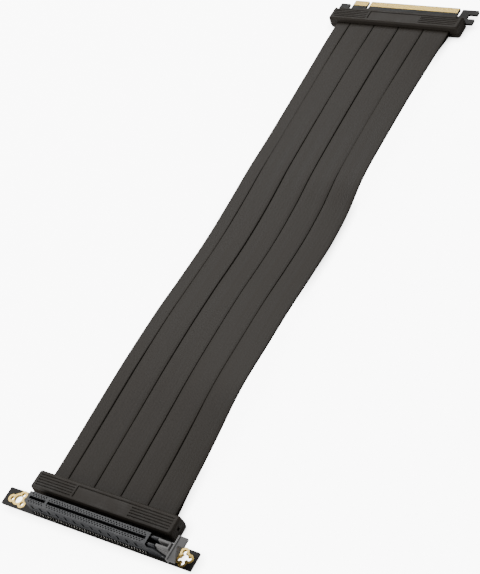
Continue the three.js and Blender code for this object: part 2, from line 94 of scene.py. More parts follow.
RIBBON_WIDTH = NARROW_STRIP_WIDTH + (STRIP_COUNT - 1) * (STRIP_WIDTH + STRIP_SPACING)
STRIP_RINGS = 170
ROUND_STEPS = 6
CORD_PATH_POINTS = 40

# Stretches where a side strip leans against its neighbour and their gap closes: strip, from, to
LEANING_STRIPS = [(0, 0.1, 0.2), (0, 0.265, 0.372), (4, 0.062, 0.155), (4, 0.265, 0.35)]
LEAN = 0.0005
LEAN_EASE = 0.022
# How much each strip rises or sinks on its own in the middle of the ribbon
STRIP_RISE = (0.0002, -0.0001, 0.0003, -0.0001, 0.0002)

# Contacts of the card interface
CONTACT_PITCH = 1 * MM
FIRST_GROUP = 11
SECOND_GROUP = 71
KEY_SPAN = 3 * MM
CONTACT_SPAN = (FIRST_GROUP + SECOND_GROUP - 2) * CONTACT_PITCH + KEY_SPAN
PIN_PLACES = [pin * CONTACT_PITCH - CONTACT_SPAN / 2 for pin in range(FIRST_GROUP)]
PIN_PLACES += [pin * CONTACT_PITCH - CONTACT_PITCH + KEY_SPAN - CONTACT_SPAN / 2
               for pin in range(FIRST_GROUP, FIRST_GROUP + SECOND_GROUP)]
KEY_PLACE = PIN_PLACES[FIRST_GROUP - 1] + KEY_SPAN / 2

# Slot housing
SLOT_LINE = -14.25 * MM
BOARD_TOP = 5 * MM
HOUSING_HALF = 44.5 * MM
HOUSING_WIDTH = 7.5 * MM
HOUSING_HEIGHT = 11.25 * MM
MOUTH_HALF = 42.7 * MM
MOUTH_WIDTH = 1.8 * MM
MOUTH_DEPTH = 8.4 * MM
KEY_RIB = 1.7 * MM
WINDOW_WIDTH = 0.62 * MM
WINDOW_LENGTH = 0.8 * MM
WINDOW_DEPTH = 1.6 * MM
INNER_ROW = 1.65 * MM
OUTER_ROW = 2.7 * MM
RECESS_PITCH = 6.4 * MM
RECESS_START = -41.5 * MM
RECESS_COUNT = 13
RECESS_LEFTS = [RECESS_START + index * RECESS_PITCH for index in range(RECESS_COUNT)]
RECESS_WIDTH = 5.2 * MM
RECESS_SINK = 0.3 * MM
SLIT_WIDTH = 1 * MM
SLIT_SINK = 1.6 * MM
RECESS_BOTTOM = 4.3 * MM
RECESS_TOP = 8.4 * MM
FOOT_REACH = CONTACT_SPAN / 2 + 0.8 * MM
FOOT_SINK = 2.3 * MM
FOOT_HEIGHT = 2.4 * MM
TOOTH_WIDTH = 0.95 * MM
TAIL_PITCH = 2 * MM
TAIL_COUNT = int(CONTACT_SPAN / TAIL_PITCH) + 1
TAIL_WIDTH = 0.5 * MM
TAIL_THICKNESS = 0.2 * MM
TAIL_RISE = 1.3 * MM
TAIL_REACH = 0.4 * MM

# The contacts' tips in the windows
TIP_HALF_WIDTH = 0.2 * MM
TIP_REACH = 0.3 * MM
TIP_ROOT = 0.1 * MM
TIP_LOW = -0.2 * MM
TIP_HIGH = 0.55 * MM

# Holes in the slot board: middle, radius and lobes
LOBE_RADIUS = 1.4 * MM
HOLE_RIM = 1.3 * MM
HOLE_SIDES = 48
PLATING_GAP = 0.02 * MM
PLATING_LIFT = 0.09 * MM
PLATING_LINING = 0.1 * MM
BORE_GAP = 0.03 * MM
HOLES = [
    ("left", (-58.6, 0.6), 2.7 * MM, [(-4.3, -0.7), (1.8, 3.3), (4.1, -2.3)]),
    ("right", (63.6, 0.9), 2.4 * MM, [(-1.5, 3.1), (-2.4, -1.6), (3.3, 0.1), (0.7, -3.2)]),
]

# Covers: the top shells rise from one seam, the bottom shells hang from the other
SLOT_COVER_RISE = 6.65 * MM
EDGE_COVER_RISE = 5.65 * MM
COVER_UNDER = 4.05 * MM
EDGE_COVER_PLACE = 415.6 * MM
COVER_HALF = 52.4 * MM
COVER_CORNER = 1.8 * MM
COVER_CORNER_STEPS = 6
COVER_DRAFT = 0.35 * MM
COVER_EDGE = 1.3 * MM
COVER_CHAMFER = 1 * MM
COVER_WALL = 1.6 * MM
TOP_SEAM = 4.35 * MM
BOTTOM_SEAM = 4.05 * MM
GROOVE_PITCH = 1.75 * MM
GROOVE_PLACES = [index * GROOVE_PITCH for index in range(-2, 3)]
GROOVE_WIDTH = 0.7 * MM
GROOVE_DEPTH = 0.5 * MM
GROOVE_END = 49 * MM
PANEL_LEFT = -20.8 * MM
PANEL_RIGHT = 20.3 * MM
GROOVES_STOP = -22.3 * MM
BOARD_POCKET = 0.95 * MM
RIBBON_MOUTH = 2.15 * MM
BOARD_ROOM = 50.45 * MM
PRONG_ROOM = 49.2 * MM
LEFT_PRONG_START = 5.3 * MM
RIGHT_PRONG_START = 3.8 * MM
NOTCH_PLACES = ((-50.8 * MM, -46.6 * MM), (46.6 * MM, 50.8 * MM))
NOTCH_START = 4 * MM
NOTCH_DEPTH = 4.2 * MM
DIMPLE_PLACES = ((-53.4 * MM, -51.4 * MM), (51.4 * MM, 53.4 * MM))
DIMPLE_LOW = 1.8 * MM
DIMPLE_HIGH = 4 * MM

# Fingers on the card edge
FINGER_LENGTH = 4.7 * MM
FINGER_WIDTH = 0.74 * MM
FINGER_HEIGHT = 0.1 * MM
FINGER_SETBACK = 0.42 * MM

# How far a cutter goes past a face, how close counts as the same place, and how far loose pieces lift
CUT_PAST = 1 * MM
NEAR = 0.01 * MM
LIFT = 0.02 * MM

# Widths of the softened edges
COVER_SOFTNESS = 0.16 * MM
HOUSING_SOFTNESS = 0.07 * MM
NECK_SOFTNESS = 0.12 * MM
LATCH_SOFTNESS = 0.18 * MM
SMALL_SOFTNESS = 0.05 * MM
TAIL_SOFTNESS = 0.03 * MM


def deselect_all():
    bpy.ops.object.select_all(action="DESELECT")


def make_active(piece):
    deselect_all()
    piece.select_set(True)
    bpy.context.view_layer.objects.active = piece


def settle(piece):
    """Moves a finished piece's place, turn and scale into its mesh."""
    make_active(piece)
    bpy.ops.object.transform_apply(location=True, rotation=True, scale=True)
    return piece


def apply_modifier(piece, kind, **settings):
    make_active(piece)
    modifier = piece.modifiers.new(kind.title(), kind)
    for name, value in settings.items():
        setattr(modifier, name, value)
    bpy.ops.object.modifier_apply(modifier=modifier.name)


def finish_piece(piece, name, body, material, replaced=()):
    piece.name = name
    piece.data.name = name
    piece.data.materials.clear()
    piece.data.materials.append(material)
    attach(piece, body)
    if replaced:
        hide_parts(*replaced)
    return piece


# Materials

def new_material(name):
    material = bpy.data.materials.new(name)
    material.use_nodes = True
    nodes = material.node_tree.nodes
    return material, nodes, material.node_tree.links, nodes["Principled BSDF"]


def plastic_grain_group():
    """Fine moulded grain: an uneven tone, an uneven roughness and a surface normal."""
    group = bpy.data.node_groups.new("plastic_grain", "ShaderNodeTree")
    face = group.interface
    face.new_socket("Tone", in_out="INPUT", socket_type="NodeSocketColor")
    face.new_socket("Grain Size", in_out="INPUT", socket_type="NodeSocketFloat")
    face.new_socket("Grain Depth", in_out="INPUT", socket_type="NodeSocketFloat")
    face.new_socket("Low Roughness", in_out="INPUT", socket_type="NodeSocketFloat")
    face.new_socket("High Roughness", in_out="INPUT", socket_type="NodeSocketFloat")
    face.new_socket("Color", in_out="OUTPUT", socket_type="NodeSocketColor")
    face.new_socket("Roughness", in_out="OUTPUT", socket_type="NodeSocketFloat")
    face.new_socket("Normal", in_out="OUTPUT", socket_type="NodeSocketVector")
    nodes, links = group.nodes, group.links
    given = nodes.new("NodeGroupInput")
    made = nodes.new("NodeGroupOutput")
    place = nodes.new("ShaderNodeTexCoord")
    fine = nodes.new("ShaderNodeTexNoise")
    fine.inputs["Detail"].default_value = 3
    links.new(place.outputs["Object"], fine.inputs["Vector"])
    links.new(given.outputs["Grain Size"], fine.inputs["Scale"])
    broad = nodes.new("ShaderNodeTexNoise")
    broad.inputs["Scale"].default_value = 90
    broad.inputs["Detail"].default_value = 4
    links.new(place.outputs["Object"], broad.inputs["Vector"])
    rough = nodes.new("ShaderNodeMapRange")
    links.new(broad.outputs["Fac"], rough.inputs["Value"])
    rough.inputs["From Min"].default_value = 0.3
    rough.inputs["From Max"].default_value = 0.7
    links.new(given.outputs["Low Roughness"], rough.inputs["To Min"])
    links.new(given.outputs["High Roughness"], rough.inputs["To Max"])
    links.new(rough.outputs["Result"], made.inputs["Roughness"])
    shade = nodes.new("ShaderNodeMapRange")
    links.new(broad.outputs["Fac"], shade.inputs["Value"])
    shade.inputs["From Min"].default_value = 0.3
    shade.inputs["From Max"].default_value = 0.7
    shade.inputs["To Min"].default_value = 0.86
    shade.inputs["To Max"].default_value = 1.12
    tint = nodes.new("ShaderNodeVectorMath")
    tint.operation = "SCALE"
    links.new(given.outputs["Tone"], tint.inputs[0])
    links.new(shade.outputs["Result"], tint.inputs["Scale"])
    links.new(tint.outputs["Vector"], made.inputs["Color"])
    bump = nodes.new("ShaderNodeBump")
    bump.inputs["Distance"].default_value = 0.0001
    links.new(fine.outputs["Fac"], bump.inputs["Height"])
    links.new(given.outputs["Grain Depth"], bump.inputs["Strength"])
    links.new(bump.outputs["Normal"], made.inputs["Normal"])
    return group


def moulded_plastic(name, tone, grain_size, grain_depth, roughness, specular=0.5):
    material, nodes, links, shader = new_material(name)
    grain = nodes.new("ShaderNodeGroup")
    grain.node_tree = PLASTIC_GRAIN
    grain.inputs["Tone"].default_value = (*tone, 1)
    grain.inputs["Grain Size"].default_value = grain_size
    grain.inputs["Grain Depth"].default_value = grain_depth
    grain.inputs["Low Roughness"].default_value = roughness[0]
    grain.inputs["High Roughness"].default_value = roughness[1]
    links.new(grain.outputs["Color"], shader.inputs["Base Color"])
    links.new(grain.outputs["Roughness"], shader.inputs["Roughness"])
    links.new(grain.outputs["Normal"], shader.inputs["Normal"])
    shader.inputs["Specular IOR Level"].default_value = specular
    return material


def sleeve_material():
    """The strips' soft sleeve, with faint streaks and ridges along the cable."""
    material, nodes, links, shader = new_material("ribbon_sleeve")
    strip_map = nodes.new("ShaderNodeUVMap")
    strip_map.uv_map = "StripMap"
    stretched = nodes.new("ShaderNodeMapping")
    stretched.inputs["Scale"].default_value = (900, 9, 1)
    links.new(strip_map.outputs["UV"], stretched.inputs["Vector"])
    streaks = nodes.new("ShaderNodeTexNoise")
    streaks.inputs["Scale"].default_value = 1
    streaks.inputs["Detail"].default_value = 5
    links.new(stretched.outputs["Vector"], streaks.inputs["Vector"])
    colour = nodes.new("ShaderNodeValToRGB")
    colour.color_ramp.elements[0].position = 0.3
    colour.color_ramp.elements[0].color = (0.0275, 0.0222, 0.0168, 1)
    colour.color_ramp.elements[1].position = 0.72
    colour.color_ramp.elements[1].color = (0.038, 0.0310, 0.0238, 1)
    links.new(streaks.outputs["Fac"], colour.inputs["Fac"])
    links.new(colour.outputs["Color"], shader.inputs["Base Color"])
    smooth = nodes.new("ShaderNodeMapRange")
    smooth.inputs["To Min"].default_value = 0.42
    smooth.inputs["To Max"].default_value = 0.6
    links.new(streaks.outputs["Fac"], smooth.inputs["Value"])
    links.new(smooth.outputs["Result"], shader.inputs["Roughness"])
    ridges = nodes.new("ShaderNodeTexWave")
    ridges.bands_direction = "X"
    ridges.inputs["Scale"].default_value = 126
    ridges.inputs["Distortion"].default_value = 0
    links.new(strip_map.outputs["UV"], ridges.inputs["Vector"])
    ridge_bump = nodes.new("ShaderNodeBump")
    ridge_bump.inputs["Strength"].default_value = 0.12
    ridge_bump.inputs["Distance"].default_value = 0.0002
    links.new(ridges.outputs["Fac"], ridge_bump.inputs["Height"])
    streak_bump = nodes.new("ShaderNodeBump")
    streak_bump.inputs["Strength"].default_value = 0.25
    streak_bump.inputs["Distance"].default_value = 0.0001
    links.new(streaks.outputs["Fac"], streak_bump.inputs["Height"])
    links.new(ridge_bump.outputs["Normal"], streak_bump.inputs["Normal"])
    links.new(streak_bump.outputs["Normal"], shader.inputs["Normal"])
    shader.inputs["Specular IOR Level"].default_value = 0.22
    shader.inputs["Sheen Weight"].default_value = 0.05
    shader.inputs["Sheen Roughness"].default_value = 0.4
    return material


def metal(name, tone, roughness):
    """Plated metal with a fine uneven tone and shine."""
    material, nodes, links, shader = new_material(name)
    place = nodes.new("ShaderNodeTexCoord")
    noise = nodes.new("ShaderNodeTexNoise")
    noise.inputs["Scale"].default_value = 700
    noise.inputs["Detail"].default_value = 3
    links.new(place.outputs["Object"], noise.inputs["Vector"])
    spread = nodes.new("ShaderNodeMapRange")
    spread.inputs["To Min"].default_value = roughness[0]
    spread.inputs["To Max"].default_value = roughness[1]
    links.new(noise.outputs["Fac"], spread.inputs["Value"])
    links.new(spread.outputs["Result"], shader.inputs["Roughness"])
    shades = nodes.new("ShaderNodeValToRGB")
    shades.color_ramp.elements[0].color = (*[0.8 * channel for channel in tone], 1)
    shades.color_ramp.elements[1].color = (*tone, 1)
    links.new(noise.outputs["Fac"], shades.inputs["Fac"])
    links.new(shades.outputs["Color"], shader.inputs["Base Color"])
    shader.inputs["Metallic"].default_value = 1
    return material


PLASTIC_GRAIN = plastic_grain_group()
COVER_PLASTIC = moulded_plastic(
    "cover_plastic", (0.035, 0.0282, 0.0215), 2600, 0.35, (0.48, 0.64), 0.3)
HOUSING_PLASTIC = moulded_plastic("housing_plastic", (0.037, 0.0385, 0.043), 1500, 0.12, (0.32, 0.45))
LATCH_PLASTIC = moulded_plastic("latch_plastic", (0.2, 0.196, 0.193), 1800, 0.2, (0.38, 0.52))
SOLDER_MASK = moulded_plastic("solder_mask", (0.014, 0.0125, 0.011), 900, 0.15, (0.42, 0.55), 0.28)
SLEEVE = sleeve_material()
GOLD = metal("contact_gold", (0.96, 0.69, 0.21), (0.32, 0.46))
TIN = metal("contact_tin", (0.62, 0.60, 0.56), (0.3, 0.45))


# Camera and stage

def make_camera():
    forward = CAMERA_RIGHT.cross(CAMERA_DOWN)
    turn = Matrix((CAMERA_RIGHT, -CAMERA_DOWN, -forward)).transposed()
    data = bpy.data.cameras.new("photo_camera")
    data.sensor_width = SENSOR_LONG_SIDE
    data.lens = CAMERA_LENS
    camera = bpy.data.objects.new("photo_camera", data)
    camera.matrix_world = Matrix.Translation(CAMERA_PLACE) @ turn.to_4x4()
    bpy.context.collection.objects.link(camera)
    bpy.context.scene.camera = camera


def make_stage():
    deselect_all()
    bpy.ops.mesh.primitive_plane_add(size=60, location=(0, 0.2, -0.0001))
    floor = bpy.context.active_object
    floor.name = "studio_floor"
    material, nodes, links, shader = new_material("studio_floor")
    shader.inputs["Base Color"].default_value = (0.88, 0.88, 0.88, 1)
    shader.inputs["Roughness"].default_value = 0.9
    shader.inputs["Specular IOR Level"].default_value = 0
    rays = nodes.new("ShaderNodeLightPath")
    glow = nodes.new("ShaderNodeMath")
    glow.operation = "MULTIPLY"
    glow.inputs[1].default_value = FLOOR_GLOW
    links.new(rays.outputs["Is Camera Ray"], glow.inputs[0])
    # Ambient occlusion dims the camera-only glow under and beside the pieces: a painted contact shadow
    # on the floor
    contact_shadow_ao = nodes.new("ShaderNodeAmbientOcclusion")
    contact_shadow_ao.inputs["Distance"].default_value = 0.006
    contact_shadow_ao.samples = 12
    shade = nodes.new("ShaderNodeMath")
    shade.operation = "MULTIPLY"
    links.new(glow.outputs["Value"], shade.inputs[0])
    links.new(contact_shadow_ao.outputs["AO"], shade.inputs[1])
    shader.inputs["Emission Color"].default_value = (1, 1, 1, 1)
    links.new(shade.outputs["Value"], shader.inputs["Emission Strength"])
    floor.data.materials.append(material)
    world = bpy.data.worlds.new("studio_air")
    world.use_nodes = True
    world.node_tree.nodes["Background"].inputs["Color"].default_value = (1, 1, 1, 1)
    world.node_tree.nodes["Background"].inputs["Strength"].default_value = 0.32
    bpy.context.scene.world = world


def add_softbox(name, place, aim, size, power):
    data = bpy.data.lights.new(name, "AREA")
    data.shape = "RECTANGLE"
    data.size, data.size_y = size
    data.energy = power
    light = bpy.data.objects.new(name, data)
    light.location = place
    light.rotation_euler = (Vector(aim) - Vector(place)).to_track_quat("-Z", "Y").to_euler()
    bpy.context.collection.objects.link(light)


# Ribbon

def lie_at(distance, column):
    """A column of the lie at a distance along the ribbon, on a smooth curve through its stations."""
    last = len(RIBBON_LIE) - 1
    index = 0
    while index < last - 1 and distance > RIBBON_LIE[index + 1][0]:
        index += 1
    start, end = RIBBON_LIE[index], RIBBON_LIE[index + 1]
    before, after = RIBBON_LIE[max(index - 1, 0)], RIBBON_LIE[min(index + 2, last)]
    span = end[0] - start[0]
    way = min(max((distance - start[0]) / span, 0), 1)
    slope_start = (end[column] - before[column]) / (end[0] - before[0]) * span
    slope_end = (after[column] - start[column]) / (after[0] - start[0]) * span
    square, cube = way * way, way * way * way
    return (
        (2 * cube - 3 * square + 1) * start[column]
        + (cube - 2 * square + way) * slope_start
        + (3 * square - 2 * cube) * end[column]
        + (cube - square) * slope_end
    )


def ribbon_height(distance, across):
    share = across / (RIBBON_WIDTH / 2)
    centre = lie_at(distance, MIDDLE_COLUMN)
    side = lie_at(distance, LEFT_COLUMN if share < 0 else RIGHT_COLUMN)
    return centre + abs(share) * (side - centre)


def smoothstep(value, low, high):
    way = min(max((value - low) / (high - low), 0), 1)
    return way * way * (3 - 2 * way)


def layer_drop(distance):
    on_boards = BOARD_THICKNESS + 2 * (SEAT_GAP + STRIP_THICKNESS / 2)
    together = STRIP_THICKNESS + LAYER_GAP
    from_end = min(distance, FREE_LENGTH - distance)
    return on_boards + (together - on_boards) * smoothstep(from_end, 0, LAYERS_MEET_AFTER)


def lean_of(index, distance):
    """How far a side strip leans towards its neighbour, along X."""
    lean = 0
    for strip, start, end in LEANING_STRIPS:
        if strip == index:
            rise = smoothstep(distance, start - LEAN_EASE, start + LEAN_EASE)
            fall = smoothstep(distance, end - LEAN_EASE, end + LEAN_EASE)
            lean = max(lean, rise * (1 - fall))
    return lean * LEAN * (1 if index == 0 else -1)


def rise_of(index, distance):
    """How far a strip rises above the ribbon's common lie."""
    swing = math.sin(math.pi * 2 * min(max(distance / FREE_LENGTH, 0), 1) + index)
    from_end = min(distance, FREE_LENGTH - distance)
    return STRIP_RISE[index] * swing * smoothstep(from_end, 0, 2 * LAYERS_MEET_AFTER)


def strip_lie(index, is_lower, distance):
    """How far a strip stands aside and above, at a distance along the ribbon."""
    aside = SIDEWAYS_DRIFT * lie_at(distance, DRIFT_COLUMN) + lean_of(index, distance)
    above = rise_of(index, distance)
    if is_lower:
        aside += LAYER_SHIFT
        above -= layer_drop(distance)
    return aside, above


def strip_section():
    """Points round a strip's section: place across from 0 to 1, and height from -1 to 1."""
    ends = []
    for step in range(ROUND_STEPS + 1):
        angle = math.pi / 2 - step * math.pi / ROUND_STEPS
        ends.append((math.cos(angle), math.sin(angle)))
    right = [(1, c, s) for c, s in ends]
    left = [(0, -c, -s) for c, s in ends]
    top = [(t, 0, 1) for t in (0.2, 0.4, 0.6, 0.8)]
    bottom = [(t, 0, -1) for t in (0.8, 0.6, 0.4, 0.2)]
    return top + right + bottom + left


def ribbon_strip(index, layer):
    is_lower = layer == "lower"
    width = NARROW_STRIP_WIDTH if index == 0 else STRIP_WIDTH
    left = -RIBBON_WIDTH / 2
    if index:
        left += NARROW_STRIP_WIDTH + STRIP_SPACING + (index - 1) * (STRIP_WIDTH + STRIP_SPACING)
    width += 2 * SLEEVE_SWELL
    left -= SLEEVE_SWELL
    half = STRIP_THICKNESS / 2
    section = strip_section()
    corners, faces, places = [], [], []
    for ring in range(STRIP_RINGS + 1):
        distance = -STRIP_LAP + (FREE_LENGTH + 2 * STRIP_LAP) * ring / STRIP_RINGS
        aside, above = strip_lie(index, is_lower, distance)
        for share, out, rise in section:
            across = left + half + share * (width - 2 * half) + out * half
            height = ribbon_height(distance, across) + above + rise * half
            corners.append((across + aside, COVER_DEPTH / 2 + distance, height))
            places.append((across - left, distance))
    count = len(section)
    for ring in range(STRIP_RINGS):
        for side in range(count):
            here = ring * count + side
            beside = ring * count + (side + 1) % count
            faces.append((here, here + count, beside + count, beside))
    faces.append(tuple(range(count)))
    faces.append(tuple(reversed(range(STRIP_RINGS * count, (STRIP_RINGS + 1) * count))))
    mesh = bpy.data.meshes.new("strip")
    mesh.from_pydata(corners, [], faces)
    strip_map = mesh.uv_layers.new(name="StripMap")
    for loop in mesh.loops:
        strip_map.data[loop.index].uv = places[loop.vertex_index]
    mesh.shade_smooth()
    piece = bpy.data.objects.new("strip", mesh)
    bpy.context.collection.objects.link(piece)
    name = f"strip_{layer}_{index + 1}"
    finish_piece(piece, name, "cable", SLEEVE, [f"ribbon_{layer}_{index + 1}"])
    middle = left + width / 2
    for step in range(CORD_PATH_POINTS):
        distance = FREE_LENGTH * step / (CORD_PATH_POINTS - 1)
        aside, above = strip_lie(index, is_lower, distance)
        height = ribbon_height(distance, middle) + above


# Modelling steps that the pieces share

def start_copy(node):
    """A merged copy of a node's mesh, in edit mode and selected all over."""
    piece = bpy.data.objects.new(node + "_copy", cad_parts[node].data.copy())
    bpy.context.collection.objects.link(piece)
    start_edit(piece)
    bpy.ops.mesh.select_all(action="SELECT")
    bpy.ops.mesh.remove_doubles(threshold=0.000002)
    bpy.ops.mesh.select_all(action="SELECT")
    return piece


def new_block(low, high):
    """A box from its low corner to its high corner."""
    deselect_all()
    bpy.ops.mesh.primitive_cube_add(size=1, location=[(a + b) / 2 for a, b in zip(low, high)])
    piece = bpy.context.active_object
    piece.scale = [b - a for a, b in zip(low, high)]
    return settle(piece)


def pick_faces(piece, test):
    """Selects, in edit mode, the faces whose middle and normal pass the test."""
    bpy.ops.mesh.select_all(action="DESELECT")
    mesh = bmesh.from_edit_mesh(piece.data)
    mesh.faces.ensure_lookup_table()
    for face in mesh.faces:
        if test(face.calc_center_median(), face.normal):
            face.select_set(True)
    mesh.select_flush_mode()
    bmesh.update_edit_mesh(piece.data)


def pick_edges(piece, test):
    """Selects, in edit mode, the edges whose two ends pass the test."""
    bpy.ops.mesh.select_all(action="DESELECT")
    mesh = bmesh.from_edit_mesh(piece.data)
    for edge in mesh.edges:
        if test(edge.verts[0].co, edge.verts[1].co):
            edge.select_set(True)
    mesh.select_flush_mode()
    bmesh.update_edit_mesh(piece.data)


def slice_faces(piece, axis, places, test):
    """Cuts the faces that pass the test at each place along an axis."""
    normal = [0, 0, 0]
    normal[axis] = 1
    for place in places:
        point = [0, 0, 0]
        point[axis] = place
        pick_faces(piece, test)
        bpy.ops.mesh.bisect(plane_co=point, plane_no=normal)


def push_faces(piece, test, way):
    """Extrudes the faces that pass the test by a distance."""
    pick_faces(piece, test)
    bpy.ops.mesh.extrude_region_move(TRANSFORM_OT_translate={"value": way})


def resize_faces(piece, test, centre, factors):
    pick_faces(piece, test)
    bpy.ops.transform.resize(value=factors, center_override=centre)


def start_edit(piece):
    make_active(piece)
    bpy.ops.object.mode_set(mode="EDIT")
    bpy.ops.mesh.select_mode(type="FACE")


def repeat_along_x(piece, pitch, count):
    apply_modifier(
        piece, "ARRAY", count=count, use_relative_offset=False,
        use_constant_offset=True, constant_offset_displace=(pitch, 0, 0),
    )


def carve(piece, low, high):
    """Cuts a box out of a piece."""
    cutter = new_block(low, high)
    combine(piece, cutter, "DIFFERENCE")


def combine(piece, other, how):
    apply_modifier(piece, "BOOLEAN", object=other, operation=how, solver="EXACT")
    bpy.data.objects.remove(other, do_unlink=True)


def soften(piece, edge, segments=2, angle=30):
    apply_modifier(
        piece, "BEVEL", width=edge, segments=segments, limit_method="ANGLE",
        angle_limit=math.radians(angle), use_clamp_overlap=True,
    )
    make_active(piece)
    bpy.ops.object.shade_smooth_by_angle(angle=math.radians(35))


def is_top(centre, normal):
    return normal.z > 0.9


def cover_block(x, y, height):
    """A rounded block from the seam outwards, leaning in by a draft and ending in a chamfer."""
    half = COVER_DEPTH / 2
    reach = height - COVER_CHAMFER
    piece = new_block((x - COVER_HALF, y - half, 0), (x + COVER_HALF, y + half, reach))
    start_edit(piece)
    bpy.ops.mesh.select_mode(type="EDGE")
    pick_edges(piece, lambda a, b: abs(a.z - b.z) > reach / 2)
    bpy.ops.mesh.bevel(offset=COVER_CORNER, segments=COVER_CORNER_STEPS, affect="EDGES")
    bpy.ops.mesh.select_mode(type="FACE")
    centre = (x, y, reach)
    drafted = (1 - COVER_DRAFT / COVER_HALF, 1 - COVER_DRAFT / half, 1)
    resize_faces(piece, is_top, centre, drafted)
    push_faces(piece, is_top, (0, 0, COVER_CHAMFER))
    across = (COVER_HALF - COVER_EDGE) / (COVER_HALF - COVER_DRAFT)
    along = (half - COVER_EDGE) / (half - COVER_DRAFT)
    resize_faces(piece, is_top, (x, y, height), (across, along, 1))
    bpy.ops.object.mode_set(mode="OBJECT")
    return piece


def cut_grooves(piece, x, y):
    """Long finger grooves at both ends and two narrow lines beside the middle panel."""
    start_edit(piece)
    half = GROOVE_WIDTH / 2
    ends = [-GROOVE_END, GROOVES_STOP, PANEL_LEFT, PANEL_LEFT + GROOVE_WIDTH, PANEL_RIGHT, GROOVE_END]
    slice_faces(piece, 0, [x + place for place in ends], is_top)
    sides = [y + place + side * half for place in GROOVE_PLACES for side in (-1, 1)]
    slice_faces(piece, 1, sides, is_top)

    def in_groove(centre, normal):
        if normal.z < 0.9:
            return False
        along, across = centre.x - x, centre.y - y
        is_rib = any(abs(across - place) < half for place in GROOVE_PLACES)
        is_end = -GROOVE_END < along < GROOVES_STOP or PANEL_RIGHT < along < GROOVE_END
        is_far_line = PANEL_LEFT < along < PANEL_RIGHT and abs(across - GROOVE_PLACES[-1]) < half
        is_left_line = 0 < along - PANEL_LEFT < GROOVE_WIDTH and abs(across) < GROOVE_PLACES[-1] + half
        return (is_rib and is_end) or is_far_line or is_left_line

    push_faces(piece, in_groove, (0, 0, -GROOVE_DEPTH))
    bpy.ops.object.mode_set(mode="OBJECT")


def hollow_cover(piece, x, y, height, board_side, has_prongs):
    """The pocket for the board, the room above it and the ribbon's mouth, from the seam up."""
    half = COVER_DEPTH / 2
    outer = half + CUT_PAST
    inner = half - COVER_WALL
    ribbon = RIBBON_WIDTH / 2 + 2 * SEAT_GAP
    front, back = sorted((-board_side * inner, board_side * outer))
    carve(piece, (x - BOARD_ROOM, y + front, -CUT_PAST), (x + BOARD_ROOM, y + back, BOARD_POCKET))
    carve(piece, (x - ribbon, y - inner, -CUT_PAST), (x + ribbon, y + inner, height - COVER_WALL))
    front, back = sorted((-board_side * outer, 0))
    carve(piece, (x - ribbon, y + front, -CUT_PAST), (x + ribbon, y + back, RIBBON_MOUTH))
    if has_prongs:
        side = COVER_HALF + CUT_PAST
        low = (x + PRONG_ROOM, y + RIGHT_PRONG_START, -CUT_PAST)
        carve(piece, low, (x + side, y + outer, BOARD_POCKET))
        low = (x - side, y + LEFT_PRONG_START, -CUT_PAST)
        carve(piece, low, (x - PRONG_ROOM, y + outer, BOARD_POCKET))


def cover_shell(name, node, x, y, height, seam, is_top_shell, is_edge):
    """One shell of a cover, modelled upright over its seam and then set in its place."""
    piece = cover_block(x, y, height)
    if is_top_shell:
        cut_grooves(piece, x, y)
    soften(piece, COVER_SOFTNESS, 2, 30)
    hollow_cover(piece, x, y, height, 1 if is_edge else -1, is_edge)
    outer = COVER_DEPTH / 2 + CUT_PAST
    if is_top_shell and is_edge:
        for left, right in NOTCH_PLACES:
            low = (x + left, y + NOTCH_START, height - NOTCH_DEPTH)
            carve(piece, low, (x + right, y + outer, height + CUT_PAST))
    if is_top_shell and not is_edge:
        for left, right in DIMPLE_PLACES:
            carve(piece, (x + left, y - MM, DIMPLE_LOW), (x + right, y + MM, DIMPLE_HIGH))
    if not is_top_shell:
        piece.scale.z = -1
    piece.location.z = seam
    settle(piece)
    if not is_top_shell:
        start_edit(piece)
        bpy.ops.mesh.select_all(action="SELECT")
        bpy.ops.mesh.normals_make_consistent(inside=False)
        bpy.ops.object.mode_set(mode="OBJECT")
    return finish_piece(piece, name, "cable", COVER_PLASTIC, [node])


